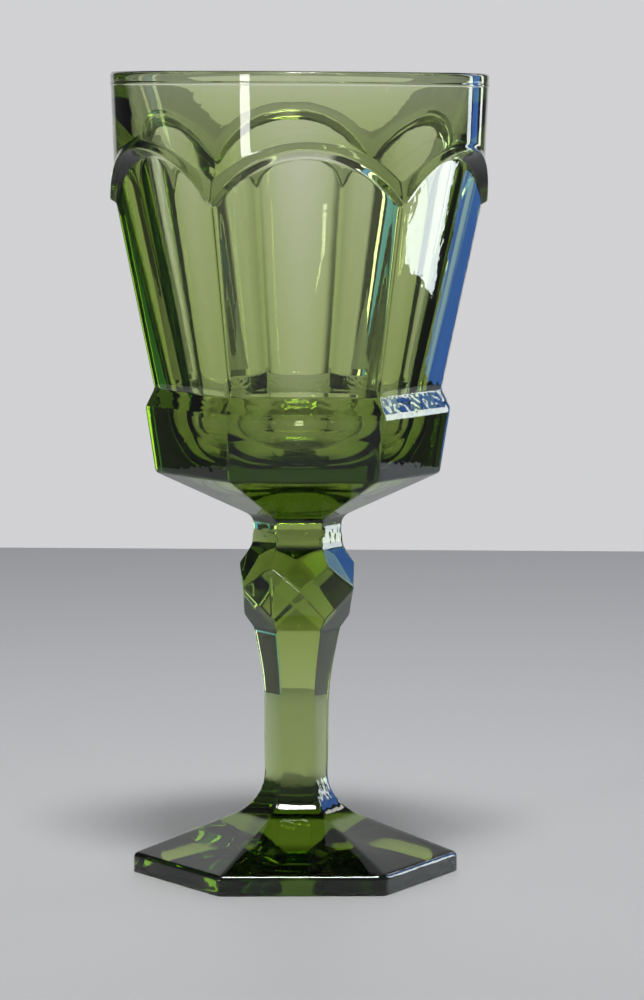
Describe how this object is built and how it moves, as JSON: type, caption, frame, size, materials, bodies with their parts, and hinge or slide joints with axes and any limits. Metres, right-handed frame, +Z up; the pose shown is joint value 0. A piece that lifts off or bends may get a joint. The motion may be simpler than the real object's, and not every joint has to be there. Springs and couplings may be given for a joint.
{
  "type": "wine glass",
  "caption": "Heavy pressed green glass goblet with a six-sided foot and stem, a faceted knop and a panelled bowl under a plain round rim.",
  "frame": {"origin": "on the table, under the middle of the foot, on the axis of the glass", "axes": "+Z up along the axis from foot to rim; a flat side of the hexagon faces -Y and two corners lie on the X axis"},
  "size_m": [0.0829, 0.0828, 0.1765],
  "materials": {
    "green_glass": "glossy pressed glass"
  },
  "bodies": {
    "root": {"foot": "green_glass", "stem": "green_glass", "knop": "green_glass", "bowl_base": "green_glass", "bowl": "green_glass"}
  },
  "joints": []
}
